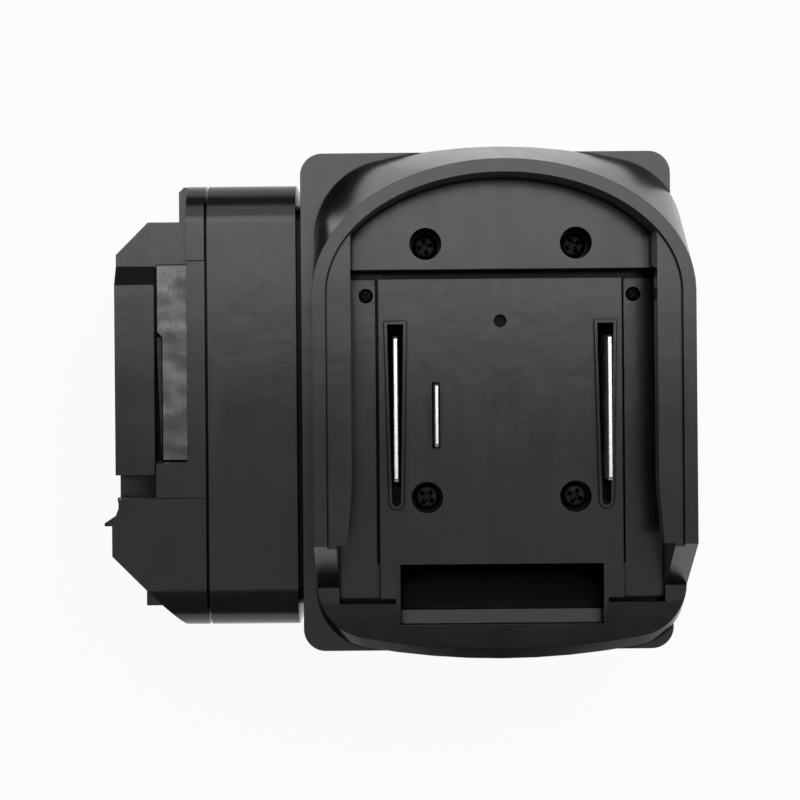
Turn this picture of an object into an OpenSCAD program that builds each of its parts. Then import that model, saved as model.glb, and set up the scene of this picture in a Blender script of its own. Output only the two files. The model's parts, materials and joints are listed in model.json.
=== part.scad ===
// Slide-on battery adapter for cordless tools.
// A battery slides into the horseshoe socket on the front, and the narrow tower on the left
// slides into the foot of the tool, where a sprung latch holds it.
// The adapter lies on its back: X runs across the socket, Y along it and Z out of it.
// The origin is on the back face, behind the middle of the socket.

/* [Body] */
// Length of the body shell, from the parting plane to its closed end
body_len = 96.5; // [95:0.1:105]
// Height of the body shell, along the socket
body_h = 94.4; // [90:0.1:104]
// Depth of the body shell, from back to front
body_d = 64; // [62:0.5:72]
// Radius of the long edges of the body shell
body_r = 8.5; // [6:0.1:11]
// Radius of the edge round the closed end
end_r = 4; // [2:0.1:5.5]
// Wall of the mouldings
wall = 2.6; // [2:0.1:3]
// How far the middle of the body lies below the middle of the socket
body_drop = 0.8; // [0:0.1:2]
// Distance from the parting plane to the middle of the socket
socket_offset = 61.7; // [58:0.1:68]

/* [Tool side] */
// Thickness of the shoulder that closes the body shell
shoulder_t = 6.8; // [6:0.1:9]
// Bevel on the top corner of the shoulder
corner_bevel = 1.1; // [0.5:0.1:2]
// Height of the tower above the shoulder
tower_t = 13.8; // [12.5:0.1:17]
// Width of the tower nose, without its rails
nose_w = 46; // [44:0.5:50]
// Step from the top of the body down to the top of the nose
nose_step = 7.5; // [7:0.1:9]
// Bevel on the leading edge of the nose
nose_bevel = 7; // [4:0.1:9]
// Width over the two rails
rail_w = 52; // [50:0.5:58]
// Thickness of a rail
rail_t = 8.5; // [7:0.1:9.5]
// Distance from the top of the nose to the full height of a rail
rail_inset = 13.7; // [12:0.1:16]
// Length of a rail at its full height
rail_len = 40.9; // [38:0.1:43]
// Length of the lead-in ramp of a rail
rail_lead = 4.2; // [2:0.1:5]
// Gap between the end of a rail and the bottom block
rail_gap = 4.9; // [4:0.1:6]
// How far a rail groove cuts into the shoulder
groove_cut = 2.3; // [1:0.1:2.8]
// Length of the stop at the end of a rail groove
stop_len = 7.6; // [6:0.1:9]
// Bevel on the lower edge of the bottom block
block_bevel = 15.3; // [13:0.1:17]
// Length of the steel strip in a rail groove
strip_len = 42.2; // [36:0.1:42.6]
// Thickness of the steel strip
strip_t = 1.2; // [0.8:0.1:1.4]
// Width of the terminal slots in the tower face
slot_w = 2.2; // [1.8:0.1:2.6]
// Length of the terminal slots, from the top of the nose
slot_len = 34.9; // [28:0.1:38]

/* [Latch] */
// Distance that the hook stands out of the tower face, which is also the travel of the latch
hook_proud = 5; // [4:0.1:6.5]
// Width of the hook
hook_w = 18; // [14:0.5:20]
// Length of the hook along the rails
hook_len = 4; // [3.6:0.1:5]
// Width of the thumb button
button_w = 27; // [24:0.5:29]
// Thickness of the thumb button
button_t = 5; // [4:0.1:5.5]
// Depth of the latch body behind the tower face
latch_d = 9; // [8:0.1:9.5]
// Distance from the underside of the body to the lower end of the button
button_rise = 3; // [2:0.1:4]
// How far the face of the button lies behind the face of the latch
button_set = 2; // [1:0.1:2.4]
// Mean diameter of a latch spring
spring_d = 5.4; // [4.6:0.1:5.8]
// Wire of a latch spring
spring_wire = 0.7; // [0.5:0.05:0.8]
// Turns of a latch spring
spring_turns = 7; // [6:1:8]
// Depth of the spring pockets in the latch
spring_pocket = 5.6; // [4:0.1:6]
// Distance between the two latch springs
spring_pitch = 16; // [14:0.5:17]

/* [Socket] */
// Width of the mounting plate
plate_w = 77.7; // [76:0.1:84]
// Height of the mounting plate
plate_h = 104.5; // [102:0.1:110]
// Thickness of the mounting plate
plate_t = 4; // [3.6:0.1:5]
// Corner radius of the mounting plate
plate_r = 4.6; // [2:0.1:8]
// How far the plate lies to the left of the middle of the socket
plate_shift = 2.75; // [0:0.05:4]
// Width of the horseshoe foot
foot_w = 77; // [75:0.5:80]
// Height of the foot above the plate
foot_h = 20; // [18.5:0.1:22]
// Reach of the base of the foot above the middle of the socket
foot_top = 53; // [50:0.1:56]
// Reach of the base of the foot below the middle of the socket
foot_low = 54.4; // [53:0.1:57]
// Crown radius at the top of the base
top_crown = 110; // [90:1:140]
// Crown radius at the bottom of the base
low_crown = 160; // [120:1:200]
// Corner radius at the top of the base
top_corner = 16; // [10:0.5:20]
// Corner radius at the bottom of the base
low_corner = 12; // [8:0.5:16]
// Height at which the arch of the rim springs from its straight sides
arch_y = 21.4; // [18:0.1:23]
// Rise of the outer edge of the arch
arch_rise = 26.8; // [24:0.1:29]
// Width of the rim
rim_w = 2.7; // [2.2:0.1:3]
// Step from the rim down to the rail lips
rim_step = 1; // [0.6:0.1:1.5]
// Gap between the two rail lips
lip_gap = 61.5; // [60:0.1:63]
// Thickness of a rail lip
lip_t = 5; // [4:0.1:6]
// Distance from the middle of the socket to the lower end of the lips
lip_low = 29.2; // [26:0.1:31]
// Widening of the lip gap at its mouth, on each side
lip_flare = 1.1; // [0:0.1:1.5]
// Length of the widening at the mouth
flare_len = 12; // [8:0.5:14]
// Distance that the arm ends slope outwards, from the rim to the plate
arm_slope = 11.5; // [8:0.1:12]
// Depth of the undercut behind a rail lip
undercut = 3.2; // [2:0.1:3.6]
// Height of the central floor above the plate
floor_h = 3; // [2.4:0.1:4]
// Width of the central floor
floor_w = 50.8; // [50:0.1:52]
// Gap between the central floor and the head platform
head_gap = 1.6; // [1:0.1:2]
// Gap along each side of the central floor
side_gap = 0.6; // [0.4:0.1:0.8]
// Drop from the central floor to the side channels
channel_drop = 2; // [1:0.1:2.2]
// Height of the head platform above the central floor
head_h = 5; // [4:0.1:6]
// Distance from the middle of the socket to the head platform
head_y = 26.8; // [26.4:0.1:28]
// Width of the pocket for the battery catch
pocket_w = 42.4; // [38:0.1:46]
// Height of the pocket for the battery catch
pocket_h = 9.8; // [8:0.1:10.4]
// Distance from the middle of the socket to the pocket
pocket_y = 34.4; // [33.6:0.1:35]
// Depth of the pocket below the central floor
pocket_d = 13.4; // [10:0.1:16]
// Length of the ramp below the pocket
ramp_len = 2.8; // [2:0.1:4]
// Distance from the middle of the socket to the chin
chin_y = 42.5; // [41.5:0.1:44]

/* [Contacts] */
// Distance between the two power blades
blade_pitch = 43.8; // [42:0.1:45]
// Thickness of a power blade
blade_t = 1.1; // [0.8:0.05:1.3]
// Length of a power blade
blade_len = 29.8; // [27:0.1:31]
// Height of the power blades above the central floor
blade_h = 9; // [7:0.1:11]
// Length of a blade slot in the floor
blade_slot_len = 37.9; // [36.5:0.1:39]
// Width of a blade slot at its square end
blade_slot_w = 3.3; // [3:0.1:4]
// Width of a blade slot at its round end
blade_slot_end = 1.7; // [1.5:0.1:2.4]
// Distance of the signal blade from the middle of the socket
signal_x = 13.5; // [12.6:0.1:14]
// Length of the signal blade
signal_len = 13.1; // [10:0.1:14]
// Thickness of the signal blade
signal_t = 1; // [0.8:0.05:1.2]
// Height of the signal blade above the central floor
signal_h = 7; // [5:0.1:9]
// Thickness of the carrier flange behind the floor
flange_t = 2.4; // [2:0.1:2.5]
// Thickness of the contact board
board_t = 1.6; // [1:0.1:2]
// Thickness of the leaves of the contact clips
leaf_t = 0.6; // [0.4:0.05:0.7]

/* [Screws] */
// Shank of the housing screws
screw_d = 2.8; // [2.5:0.1:3]
// Head of the housing screws
head_d = 5.4; // [5:0.1:5.8]
// Height of the head of a housing screw
head_t = 2.3; // [1.8:0.1:2.6]
// Shank of the small screws inside
small_d = 2; // [1.6:0.1:2.2]
// Head of the small screws inside
small_head_d = 3.8; // [3.4:0.1:4]
// Counterbore of a frame screw
bore_d = 6.5; // [6.3:0.1:7]
// Distance of the frame screws from the middle of the socket
frame_screw_x = 15.5; // [15:0.1:16]
// Height of the upper frame screws above the middle of the socket
upper_screw_y = 32.1; // [31:0.1:33]
// Distance of the lower frame screws below the middle of the socket
lower_screw_y = 20.4; // [20:0.1:21]
// Distance of the carrier screws from the middle of the socket
carrier_screw_x = 28; // [27.7:0.1:28.4]
// Height of the carrier screws above the middle of the socket
carrier_screw_y = 21.8; // [21.4:0.1:22.2]

/* [Wiring] */
// Diameter of the power leads
power_lead_d = 2.8; // [2:0.1:3]
// Diameter of the signal lead
signal_lead_d = 1.6; // [1.2:0.1:2]

/* [Hidden] */

// Clearances
fit = 0.1;
run_gap = 0.4;
over = 1;

// Planes of the housing
x_part = -socket_offset;
x_end = x_part + body_len;
x_shoulder = x_part - shoulder_t;
x_tower = x_shoulder - tower_t;
y_mid = -body_drop;
y_top = y_mid + body_h / 2;
y_low = y_mid - body_h / 2;
z_mid = body_d / 2;

// Tower along the slide direction
nose_top = y_top - nose_step;
rail_top = nose_top - rail_inset;
rail_low = rail_top - rail_len;
block_top = rail_low - rail_gap;
nose_z = [z_mid - nose_w / 2, z_mid + nose_w / 2];
rail_rise = (rail_w - nose_w) / 2;
x_rail = x_tower + rail_t;
cavity_rise = 1.2;
rib_t = 5;
rib_top = block_top + cavity_rise + rib_t;
bevel_in = nose_bevel - wall * (2 - sqrt(2));

block_in = 1.4;
block_step = 1.9;
block_lead = 5.7;
stop_set = 0.9;
x_stop = x_rail + stop_set;
notch_d = 4.5;
relief_d = 0.4;
seam_w = 0.6;
seam_d = 1.8;

// Strip and the slit beside it
x_groove = x_shoulder + groove_cut;
strip_inset = 0.3;
strip_seat = 0.8;
strip_low = block_top + stop_len + run_gap;
strip_top = strip_low + strip_len;
slit_w = 1.1;
slit_len = 26.6;
slit_d = 1.6;

// Latch
latch_play = 0.3;
x_latch = x_tower + wall + latch_play;
x_latch_back = x_latch + latch_d;
hook_drop = 3.1;
hook_top = block_top - hook_drop;
hook_low = hook_top - hook_len;
hook_tip = 0.7;
cavity_top = rib_top - rib_t;
latch_top = cavity_top - run_gap;
button_low = y_low + button_rise;
button_lap = 1.2;
button_top = y_low + block_bevel - button_lap;
x_button = x_latch + button_set;
button_play = 1.6;
grip_rows = 3;
grip_step = 2.2;
grip_d = 0.6;
grip_in = 3;
spring_drop = 4.7;
spring_y = hook_low - spring_drop;
spring_z = [z_mid - spring_pitch / 2, z_mid + spring_pitch / 2];
spring_play = 0.05;
x_pocket = x_latch_back - spring_pocket;
stud_play = 1.1;
stud_d = spring_d - spring_wire - stud_play;
stud_len = 3;
ring_count = 8;
spring_sides = 6;

// Bracket behind the springs
bracket_t = 2;
bracket_back = 2.5;
x_bracket = x_part + bracket_back;
x_spring = [x_pocket + spring_wire / 2 + spring_play, x_bracket - spring_wire / 2 - spring_play];
bracket_w = 24;
bracket_screw_rise = 2.3;
bracket_screw_y = rib_top + bracket_screw_rise;
bracket_screw_pitch = 16;
bracket_screw_z = [z_mid - bracket_screw_pitch / 2, z_mid + bracket_screw_pitch / 2];
bracket_margin = 4;
bracket_top = bracket_screw_y + bracket_margin;
bracket_low = y_low + wall + fit;
bracket_foot = 11;
boss_d = 7.5;
small_boss_d = 6;

// Planes of the socket
z_plate = body_d + plate_t;
z_rim = z_plate + foot_h;
z_floor = z_plate + floor_h;
z_channel = z_floor - channel_drop;
z_head = z_floor + head_h;
z_lip = z_rim - rim_step;
foot_half = foot_w / 2;
rim_half = foot_half - rim_w;
lip_half = lip_gap / 2;
channel_half = lip_half + undercut;
seat_rise = 2.2;
z_seat = body_d + seat_rise;
base_sink = 1.2;
slice = 0.5;
pocket_wall = 1.6;
pocket_low = -pocket_y - pocket_h;
z_pocket = z_floor - pocket_d;
heel_rise = 0.4;
z_heel = body_d + heel_rise;
ledge_rise = 2.4;
z_ledge = body_d + ledge_rise;
chin_drop = 0.8;
groove_w = 1;
groove_d = 4;
x_plate = -plate_shift - plate_w / 2;
shadow_w = 1.3;
shadow_d = 4;
plate_drop = 0.35;
border_w = 0.7;
border_h = 0.5;
dimple_d = 2.6;
dimple_deep = 3;
dimple_y = 16.3;
bore_wall = 1.6;
bore_boss_d = bore_d + 2 * bore_wall;
corner_steps = 10;
crown_steps = 8;
arch_steps = 36;

// Blades and their carrier
blade_x = blade_pitch / 2;
blade_top = 13;
blade_low = blade_top - blade_len;
slot_lead = 2.7;
blade_slot_top = blade_top + slot_lead;
blade_tip = 0.5;
power_neck = [-6, 4];
signal_top = 3.3;
signal_low = signal_top - signal_len;
signal_neck = [-5, -1];
signal_play = 0.5;
signal_end = 0.3;
signal_slot_w = signal_t + signal_play;
neck_len = 14;
z_flange = body_d + flange_t;
gap_skin = 1.2;
z_gap = z_flange + gap_skin;
neck_seat = 0.8;
z_neck = body_d + neck_seat;
z_tail = z_neck - neck_len;
flange_side = 3;
flange_half = carrier_screw_x + flange_side;
flange_end = 3.3;
flange_top = carrier_screw_y + flange_end;
flange_foot = 1.4;
flange_low = blade_low - flange_foot;
block_side = 3.1;
block_half = blade_x + block_side;
block_low = -13.2;
block_end = 3.8;
carrier_top = blade_top + block_end;
carrier_d = 7;
z_carrier = body_d - carrier_d;
carrier_boss_d = 5.4;
carrier_screw_d = 1.6;
carrier_head_d = 2.6;
carrier_screw_len = 7;
carrier_head_t = 1.3;
carrier_sink = 1.4;
z_carrier_seat = z_channel - carrier_sink;
window_fit = 0.6;

// Board and clips in the tower
board_inset = 4.3;
x_board = x_part - board_inset;
x_board_back = x_board + board_t;
board_gap = 2.3;
board_top = nose_top - wall - board_gap;
board_rise = 6.5;
board_low = bracket_screw_y + board_rise;
board_side = 1.4;
board_half = nose_w / 2 - wall - board_side;
board_screw_in = 4;
board_screw_y = [board_low + board_screw_in, board_top - board_screw_in];
power_pitch = 28;
signal_pitch = 10;
clip_z = [for (offset = [-power_pitch, -signal_pitch, signal_pitch, power_pitch]) z_mid + offset / 2];
clip_len = 14;
clip_drop = 27;
clip_low = nose_top - clip_drop;
clip_base = 0.8;
clip_pinch = 0.35;
clip_mouth = 1;
clip_root = 1.4;
x_mouth = x_tower + wall + run_gap;
pinch_in = 2.4;
x_pinch = x_mouth + pinch_in;

// Screws
screw_len = 13;
small_len = 7;
small_head_t = 1.5;
cross_w = 0.9;
cross_d = 1.1;
cross_share = 0.6;
pilot = 0.1;
screw_play = 0.4;
frame_screws_at = [for (sx = [-1, 1], y = [upper_screw_y, -lower_screw_y]) [sx * frame_screw_x, y]];
cover_seat = 3.5;
x_seat = x_part - cover_seat;
cover_top_y = y_top - nose_step / 2;
cover_screw_drop = 6.4;
cover_low_y = block_top - cover_screw_drop;
cover_screw_pitch = 28;
cover_screw_in = 7;
cover_screws_at = [for (side = [-1, 1]) each [[cover_top_y, z_mid + side * cover_screw_pitch / 2],
    [cover_low_y, z_mid + side * (z_mid - cover_screw_in)]]];
cover_bore_d = head_d + run_gap;
cover_boss_d = 9;

// Routes of the leads, from the blade necks to the contact board
lead_sides = 8;
lead_drop = 11.5;
signal_drop = 10;
z_lead = body_d - lead_drop;
z_signal = body_d - signal_drop;
left_route = [[-blade_x - blade_t / 2 - fit, -1, z_lead], [-26, -1, z_lead], [-34, 2, 48], [-44, 8, 38],
    [-52, 14, 26], [-57, 17, 19], [-60, 18, clip_z[0]], [x_board_back + fit, 18, clip_z[0]]];
right_route = [[blade_x - blade_t / 2 - fit, -1, z_lead], [17, -1, z_lead], [8, -3, 46], [-8, -2, 43],
    [-24, 4, 46], [-40, 12, 48], [-52, 17, 47], [-59, 18, clip_z[3]], [x_board_back + fit, 18, clip_z[3]]];
signal_route = [[-signal_x - signal_t / 2 - fit, -3, z_signal], [-16.6, -3, z_signal],
    [-19, -9, z_signal], [-24, -12, z_lead], [-34, -9, 46], [-46, 0, 36], [-56, 6, 32],
    [-60, 7, z_mid], [x_board_back + fit, 7, z_mid]];

// Colours of the pieces
black = [0.11, 0.11, 0.115];
dark = [0.07, 0.07, 0.075];
steel = [0.62, 0.63, 0.64];
nickel = [0.8, 0.78, 0.73];
board_green = [0.08, 0.3, 0.16];

// A flat shape in the YZ plane, drawn out along X
module along_x(x0, x1) {
    translate([x0, 0, 0])
        rotate([90, 0, 90])
            linear_extrude(x1 - x0)
                children();
}

// A flat shape in the XZ plane, drawn out along Y
module along_y(y0, y1) {
    translate([0, y1, 0])
        rotate([90, 0, 0])
            linear_extrude(y1 - y0)
                children();
}

// A flat shape in the XY plane, drawn out along Z
module along_z(z0, z1) {
    translate([0, 0, z0])
        linear_extrude(z1 - z0)
            children();
}

// A box between two corners
module box(low, high) {
    translate(low)
        cube(high - low);
}

// A round pin along X
module pin_x(x0, x1, y, z, d) {
    translate([x0, y, z])
        rotate([0, 90, 0])
            cylinder(h = x1 - x0, d = d, $fn = 48);
}

// A round pin along Z
module pin_z(z0, z1, x, y, d) {
    translate([x, y, z0])
        cylinder(h = z1 - z0, d = d, $fn = 48);
}

// The same shape on the front and back sides of the tower
module both_sides() {
    children();
    translate([0, 0, body_d])
        mirror([0, 0, 1])
            children();
}

// The same shape on both sides of the socket
module both_arms() {
    children();
    mirror([1, 0, 0])
        children();
}

// A rectangle with round corners, about the origin
module rounded(w, h, r) {
    square([w - 2 * r, h], center = true);
    square([w, h - 2 * r], center = true);
    for (sx = [-1, 1], sy = [-1, 1]) {
        translate([sx * (w / 2 - r), sy * (h / 2 - r)])
            circle(r, $fn = 64);
    }
}

// Cross-section of the body, in by a given distance
module body_section(inset) {
    translate([y_mid, z_mid])
        rounded(body_h - 2 * inset, body_d - 2 * inset, body_r - inset);
}

// A shallow groove round the body
module edge_groove(x0, x1, depth) {
    along_x(x0, x1)
        difference() {
            body_section(-over);
            body_section(depth);
        }
}

// Rib inside the body, behind the groove beside the mounting plate
module groove_rib() {
    difference() {
        along_x(x_plate - shadow_w - wall, x_plate + wall)
            body_section(0);
        along_x(x_plate - shadow_w - wall - over, x_plate + wall + over)
            body_section(shadow_d + wall);
    }
}

// A screw along X or Z: its seat is at zero, its head above and its shank below
module screw(d, len, head_d, head_t) {
    difference() {
        union() {
            translate([0, 0, -len])
                cylinder(h = len, d = d, $fn = 32);
            cylinder(h = head_t, d = head_d, $fn = 32);
        }
        for (a = [0, 90]) {
            rotate([0, 0, a])
                translate([-head_d * cross_share / 2, -cross_w / 2, head_t - cross_d])
                    cube([head_d * cross_share, cross_w, cross_d + over]);
        }
    }
}

// Points of an arc about a centre
function arc(centre, r, a0, a1, steps, skip = 0) =
    [for (i = [skip:steps - skip]) let (a = a0 + (a1 - a0) * i / steps) centre + r * [cos(a), sin(a)]];

// Upper half of the foot outline: a corner, a shallow crown and a corner
function crowned(reach, crown, corner) =
    let (run = foot_half - corner, rise = sqrt(pow(crown - corner, 2) - pow(run, 2)),
        turn = atan2(rise, run), y = reach - crown + rise)
    concat(arc([run, y], corner, 0, turn, corner_steps),
        arc([0, reach - crown], crown, turn, 180 - turn, crown_steps, 1),
        arc([-run, y], corner, 180 - turn, 180, corner_steps));

// Outline of the base of the foot
function foot_outline() =
    concat(crowned(foot_top, top_crown, top_corner),
        [for (p = crowned(foot_low, low_crown, low_corner)) -p]);

// Arch of the horseshoe between two angles, with straight sides down to a given height
function horseshoe(half, rise, low, from = 0) =
    let (low_half = half * cos(from))
    concat([for (i = [0:arch_steps]) let (a = from + (180 - 2 * from) * i / arch_steps)
            [half * cos(a), arch_y + rise * sin(a)]],
        [[-low_half, low], [low_half, low]]);

// Outline of a blade slot: square at the top and round at the bottom
function slot_outline(grow) =
    let (half = blade_slot_w / 2 + grow, end = blade_slot_end / 2 + grow,
        top = blade_slot_top + grow, low = blade_slot_top - blade_slot_len + blade_slot_end / 2)
    concat([[half, top], [-half, top]], arc([0, low], end, 180, 360, corner_steps));

// A round tube along a route
function unit(v) = v / norm(v);
function ring(route, i, r, sides, side_on) =
    let (t = unit(route[min(i + 1, len(route) - 1)] - route[max(i - 1, 0)]),
        u = unit(cross(t, side_on)), v = cross(t, u))
    [for (k = [0:sides - 1]) route[i] + r * (cos(360 * k / sides) * u + sin(360 * k / sides) * v)];

module tube(route, d, sides, side_on) {
    rings = len(route);
    points = [for (i = [0:rings - 1]) each ring(route, i, d / 2, sides, side_on)];
    skin = [for (i = [0:rings - 2], k = [0:sides - 1])
        let (a = i * sides + k, b = i * sides + (k + 1) % sides)
        each [[a, a + sides, b], [b, a + sides, b + sides]]];
    last = (rings - 1) * sides;
    caps = [for (k = [1:sides - 2]) each [[0, k, k + 1], [last, last + k + 1, last + k]]];
    polyhedron(points, concat(skin, caps));
}

// Points of a spring wound along X
function coil(x0, x1, y, z) =
    [for (i = [0:spring_turns * ring_count]) let (a = 360 * i / ring_count)
        [x0 + (x1 - x0) * i / (spring_turns * ring_count),
            y + spring_d / 2 * cos(a), z + spring_d / 2 * sin(a)]];

// Place of the sloping arm ends at a given height
function arm_end(z) = -lip_low - (z_rim - z) * arm_slope / foot_h;

// Least gap between the turns of a latch spring, measured on its points
coil_points = coil(x_spring[0], x_spring[1], 0, 0);
coil_gap = min([for (i = [0:len(coil_points) - 1], j = [i + ring_count / 2:len(coil_points) - 1])
    norm(coil_points[i] - coil_points[j])]) - spring_wire;
echo(coil_gap = coil_gap);

// Half of a section through the closed end, with its round edge
module end_section(half) {
    square([half, body_len - end_r]);
    square([half - end_r, body_len]);
    translate([half - end_r, body_len - end_r])
        circle(end_r, $fn = 64);
}

// A slab of the tub, in a plane along X
module end_slab(half) {
    rotate(-90) {
        end_section(half);
        mirror([1, 0])
            end_section(half);
    }
}

// Outer form of the tub: round corner posts and the slabs between them
module tub_form() {
    post_y = body_h / 2 - body_r;
    post_z = body_d / 2 - body_r;
    translate([x_part, y_mid, z_mid]) {
        for (sy = [-1, 1], sz = [-1, 1]) {
            translate([0, sy * post_y, sz * post_z])
                rotate([0, 90, 0])
                    rotate_extrude($fn = 64)
                        end_section(body_r);
        }
        along_y(-post_y, post_y)
            end_slab(body_d / 2);
        along_z(-post_z, post_z)
            end_slab(body_h / 2);
    }
}

// Rounded tub behind the socket, open to the left, with its screw bosses
module body_shell() {
    color(black)
        difference() {
            union() {
                difference() {
                    tub_form();
                    along_x(x_part - over, x_end - wall)
                        body_section(wall);
                }
                intersection() {
                    along_x(x_part, x_end - wall / 2)
                        body_section(wall / 2);
                    union() {
                        groove_rib();
                        for (p = frame_screws_at) {
                            pin_z(z_seat - screw_len - wall, body_d, p.x, p.y, boss_d);
                        }
                        for (p = cover_screws_at) {
                            pin_x(x_part, x_seat + screw_len + wall, p.x, p.y, cover_boss_d);
                        }
                    }
                }
            }
            for (p = frame_screws_at) {
                pin_z(z_seat - screw_len - over, body_d + over, p.x, p.y, screw_d + pilot);
            }
            for (p = cover_screws_at) {
                pin_x(x_part - over, x_seat + screw_len + over, p.x, p.y, screw_d + pilot);
            }
            box([-flange_half - window_fit, block_low - window_fit, z_carrier - over],
                [flange_half + window_fit, flange_top + window_fit, body_d + over]);
            pocket_form(pocket_wall + window_fit, body_d + over);
            edge_groove(x_plate - shadow_w, x_plate, shadow_d);
        }
}

// Side view of the tower nose, in by a given distance
module nose_profile(inset, bevel, low, right) {
    polygon([[right, nose_top - inset], [x_tower + inset + bevel, nose_top - inset],
        [x_tower + inset, nose_top - inset - bevel], [x_tower + inset, low], [right, low]]);
}

// Side view of the shoulder and the bottom block, with their bevels
module block_profile() {
    polygon([[x_part, y_low], [x_tower + block_bevel, y_low], [x_tower, y_low + block_bevel],
        [x_tower, block_top - block_lead], [x_tower + block_in, block_top - block_step],
        [x_tower + block_in, block_top], [x_shoulder, block_top], [x_shoulder, y_top - corner_bevel],
        [x_shoulder + corner_bevel, y_top], [x_part, y_top]]);
}

// Outer form of the cover: shoulder, nose, rails, stops and bottom block
module cover_form() {
    intersection() {
        along_x(x_tower, x_part)
            body_section(0);
        along_z(0, body_d)
            block_profile();
    }
    along_z(nose_z[0], nose_z[1])
        nose_profile(0, nose_bevel, block_top - over, x_part);
    both_sides() {
        along_x(x_tower, x_rail)
            polygon([[rail_top + rail_lead, nose_z[1]], [rail_top, nose_z[1] + rail_rise],
                [rail_low, nose_z[1] + rail_rise], [rail_low, nose_z[1] - wall],
                [rail_top + rail_lead, nose_z[1] - wall]]);
        box([x_stop, block_top - over, nose_z[1] - wall], [x_part, block_top + stop_len, body_d]);
    }
}

// Outline of the steel strip in a rail groove, seen from the side
module strip_outline(grow) {
    left = x_rail + strip_inset - grow;
    right = x_groove - strip_inset + grow;
    slit = x_rail + slit_w + strip_inset - grow;
    polygon([[left, strip_top + grow], [left, strip_low + slit_len + slit_w], [slit, strip_low + slit_len],
        [slit, strip_low - grow], [right, strip_low - grow], [right, strip_top + grow]]);
}

// Cover with the shoulder, the slotted tower and its two rails
module tool_cover() {
    color(black)
        difference() {
            union() {
                difference() {
                    cover_form();
                    along_z(nose_z[0] + wall, nose_z[1] - wall)
                        nose_profile(wall, bevel_in, rib_top, x_part + over);
                    box([x_tower + wall, y_low + wall, z_mid - button_w / 2 - run_gap],
                        [x_part + over, cavity_top, z_mid + button_w / 2 + run_gap]);
                }
                for (y = board_screw_y) {
                    pin_x(x_tower + wall / 2, x_board - fit, y, z_mid, small_boss_d);
                }
                for (z = bracket_screw_z) {
                    pin_x(x_tower + wall / 2, x_bracket - fit, bracket_screw_y, z, small_boss_d);
                }
            }
            box([x_tower - over, y_low - over, z_mid - button_w / 2 - run_gap],
                [x_button + button_t + hook_proud + button_play, button_top, z_mid + button_w / 2 + run_gap]);
            box([x_tower - over, hook_low - run_gap, z_mid - hook_w / 2 - run_gap],
                [x_tower + wall + over, hook_top + run_gap, z_mid + hook_w / 2 + run_gap]);
            for (z = clip_z) {
                box([x_tower - over, nose_top - slot_len, z - slot_w / 2],
                    [x_tower + nose_bevel + wall, nose_top + over, z + slot_w / 2]);
            }
            for (p = cover_screws_at) {
                pin_x(x_tower - over, x_seat, p.x, p.y, cover_bore_d);
                pin_x(x_tower - over, x_part + over, p.x, p.y, screw_d + screw_play);
            }
            for (y = board_screw_y) {
                pin_x(x_board - small_len - over, x_part, y, z_mid, small_d + pilot);
            }
            for (z = bracket_screw_z) {
                pin_x(x_bracket - small_len - over, x_bracket + over, bracket_screw_y, z, small_d + pilot);
            }
            both_sides() {
                along_z(nose_z[1] - strip_seat, nose_z[1] + over)
                    strip_outline(fit);
                box([x_rail, strip_low, nose_z[1] - slit_d], [x_rail + slit_w, strip_low + slit_len, body_d]);
                box([x_shoulder - over, block_top + stop_len, nose_z[1]],
                    [x_groove, y_top + over, body_d + over]);
                box([x_rail, block_top, body_d - relief_d], [x_part, strip_top + run_gap, body_d + over]);
                box([x_tower - over, block_top, nose_z[1] - notch_d], [x_stop, rail_low, nose_z[1] + over]);
            }
            edge_groove(x_part - seam_w, x_part, seam_d);
        }
}

// Steel wear strips in the rail grooves
module rail_strips() {
    color(steel)
        both_sides()
            along_z(nose_z[1] - strip_seat, nose_z[1] - strip_seat + strip_t)
                strip_outline(0);
}

// Latch with its ramped hook and thumb button
module latch() {
    color(dark)
        difference() {
            union() {
                along_z(z_mid - button_w / 2, z_mid + button_w / 2)
                    polygon([[x_latch, latch_top], [x_latch, button_top], [x_button, button_top - button_set],
                        [x_button, button_low], [x_button + button_t, button_low],
                        [x_latch_back, button_low + latch_d - button_set - button_t],
                        [x_latch_back, latch_top]]);
                along_z(z_mid - hook_w / 2, z_mid + hook_w / 2)
                    polygon([[x_latch + over, hook_top], [x_tower, hook_top],
                        [x_tower - hook_proud, hook_low + hook_tip], [x_tower - hook_proud, hook_low],
                        [x_latch + over, hook_low]]);
            }
            for (i = [1:grip_rows]) {
                box([x_button - over, button_low + i * grip_step - grip_d, z_mid - button_w / 2 + grip_in],
                    [x_button + grip_d, button_low + i * grip_step, z_mid + button_w / 2 - grip_in]);
            }
            for (z = spring_z) {
                pin_x(x_pocket, x_latch_back + over, spring_y, z, spring_d + spring_wire + run_gap);
            }
        }
}

// Two coil springs that push the latch outwards
module latch_springs() {
    color(steel)
        for (z = spring_z) {
            tube(coil(x_spring[0], x_spring[1], spring_y, z), spring_wire, spring_sides, [1, 0, 0]);
        }
}

// Bent steel bracket behind the springs
module latch_bracket() {
    color(steel)
        difference() {
            union() {
                box([x_bracket, bracket_low, z_mid - bracket_w / 2],
                    [x_bracket + bracket_t, bracket_top, z_mid + bracket_w / 2]);
                box([x_bracket, bracket_low, z_mid - bracket_w / 2],
                    [x_bracket + bracket_foot, bracket_low + bracket_t, z_mid + bracket_w / 2]);
                for (z = spring_z) {
                    pin_x(x_bracket - stud_len, x_bracket + bracket_t / 2, spring_y, z, stud_d);
                }
            }
            for (z = bracket_screw_z) {
                pin_x(x_bracket - over, x_bracket + bracket_t + over, bracket_screw_y, z,
                    small_d + screw_play);
            }
        }
}

module bracket_screws() {
    color(steel)
        for (z = bracket_screw_z) {
            translate([x_bracket + bracket_t + fit, bracket_screw_y, z])
                rotate([0, 90, 0])
                    screw(small_d, small_len, small_head_d, small_head_t);
        }
}

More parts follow.
